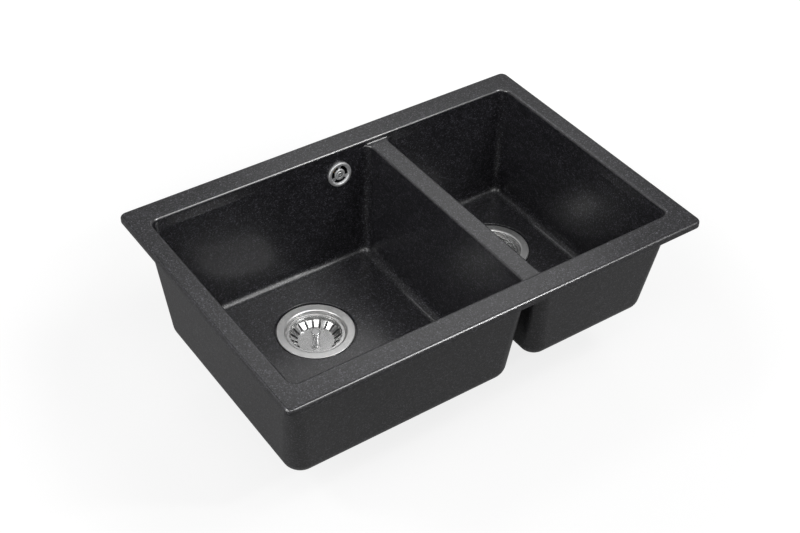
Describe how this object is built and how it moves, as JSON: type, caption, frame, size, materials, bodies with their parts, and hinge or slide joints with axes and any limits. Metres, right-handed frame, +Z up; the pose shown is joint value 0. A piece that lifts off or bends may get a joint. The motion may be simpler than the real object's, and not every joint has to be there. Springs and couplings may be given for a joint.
{
  "type": "double bowl kitchen sink",
  "caption": "Drop-in granite composite kitchen sink with a large and a small bowl, low divider, lift-out basket strainers and a rear overflow with its pipe.",
  "frame": {"origin": "centre of the rim's underside, in the plane that rests on the worktop", "axes": "+X to the right along the long side, +Y to the back, +Z up"},
  "size_m": [0.65, 0.44, 0.27],
  "materials": {
    "composite": "fine speckled matt",
    "strainer_steel": "satin",
    "basket_steel": "bright",
    "chrome": "polished",
    "screw_steel": "bright",
    "brass": "machined",
    "seal_rubber": "matt",
    "waste_plastic": "moulded, fine grain",
    "pipe_plastic": "extruded, satin"
  },
  "bodies": {
    "sink": {"sink_rim": "composite", "sink_divider": "composite", "large_bowl": "composite", "small_bowl": "composite", "large_strainer_cup": "strainer_steel", "large_top_gasket": "seal_rubber", "large_lower_gasket": "seal_rubber", "large_waste_body": "waste_plastic", "large_insert_nut": "brass", "large_clamp_screw": "screw_steel", "small_strainer_cup": "strainer_steel", "small_top_gasket": "seal_rubber", "small_lower_gasket": "seal_rubber", "small_waste_body": "waste_plastic", "small_insert_nut": "brass", "small_clamp_screw": "screw_steel", "overflow_rosette": "chrome", "overflow_rosette_screw": "screw_steel", "overflow_gasket": "seal_rubber", "overflow_elbow": "waste_plastic", "overflow_inlet": "waste_plastic", "overflow_elbow_insert": "brass", "overflow_pipe": "pipe_plastic", "upper_pipe_nut": "waste_plastic", "lower_pipe_nut": "waste_plastic", "upper_pipe_seal": "seal_rubber", "lower_pipe_seal": "seal_rubber"},
    "large_basket_set": {"large_basket": "basket_steel", "large_knob": "chrome", "large_stopper": "seal_rubber", "large_stopper_nut": "screw_steel"},
    "small_basket_set": {"small_basket": "basket_steel", "small_knob": "chrome", "small_stopper": "seal_rubber", "small_stopper_nut": "screw_steel"}
  },
  "joints": [
    {"name": "large_basket_lift", "type": "slide", "parent": "sink", "child": "large_basket_set", "axis": [0, 0, 1], "range_m": [0, 0.06]},
    {"name": "small_basket_lift", "type": "slide", "parent": "sink", "child": "small_basket_set", "axis": [0, 0, 1], "range_m": [0, 0.06]}
  ]
}
